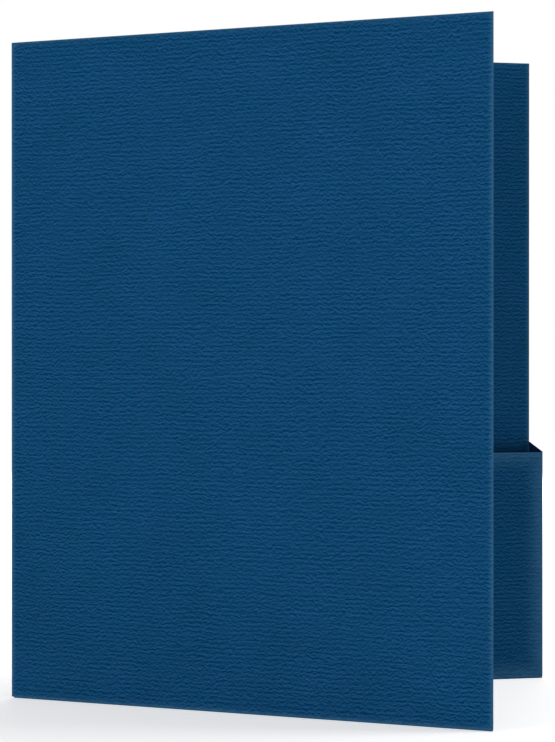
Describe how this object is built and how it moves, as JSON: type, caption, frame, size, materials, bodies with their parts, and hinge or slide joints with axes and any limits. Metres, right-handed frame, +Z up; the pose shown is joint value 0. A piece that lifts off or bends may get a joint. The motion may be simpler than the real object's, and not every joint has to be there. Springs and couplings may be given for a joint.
{
  "type": "two pocket folder",
  "caption": "Navy embossed paperboard folder standing partly open, with a hinged spine, a boxed pocket inside the back cover and a flat pocket inside the front cover.",
  "frame": {"origin": "on the surface that the folder stands on, under the middle of its box as it stands open", "axes": "+Z up along the creases; +X along the back cover from the spine to its free edge; +Y out of the back cover's outer face"},
  "size_m": [0.262, 0.1932, 0.2984],
  "materials": {
    "cover_board": "matte",
    "pocket_board": "matte",
    "creased_board": "matte",
    "glue": "satin"
  },
  "bodies": {
    "back_half": {"back_cover": "cover_board", "back_crease": "creased_board", "right_pocket_bottom_fold": "creased_board", "right_pocket_bottom_wall": "pocket_board", "right_pocket_front_fold": "creased_board", "right_pocket_face": "pocket_board", "right_pocket_side_fold": "creased_board", "right_pocket_side_wall": "pocket_board", "right_pocket_flap_fold": "creased_board", "right_pocket_glue_flap": "pocket_board", "right_pocket_glue_line": "glue"},
    "spine_panel": {"spine": "cover_board"},
    "front_half": {"front_cover": "cover_board", "front_crease": "creased_board", "left_pocket_bottom_fold": "creased_board", "left_pocket_face": "pocket_board", "left_pocket_side_fold": "creased_board", "left_pocket_glue_flap": "pocket_board", "left_pocket_glue_line": "glue"}
  },
  "joints": [
    {"name": "back_crease_hinge", "type": "hinge", "parent": "back_half", "child": "spine_panel", "pos_m": [-0.11282, 0.0958, 0.1492], "axis": [0, 0, -1], "range_deg": [-44, 46]},
    {"name": "front_crease_hinge", "type": "hinge", "parent": "spine_panel", "child": "front_half", "pos_m": [-0.13046, 0.07753, 0.1492], "axis": [0, 0, -1], "range_deg": [-2, 88]}
  ]
}
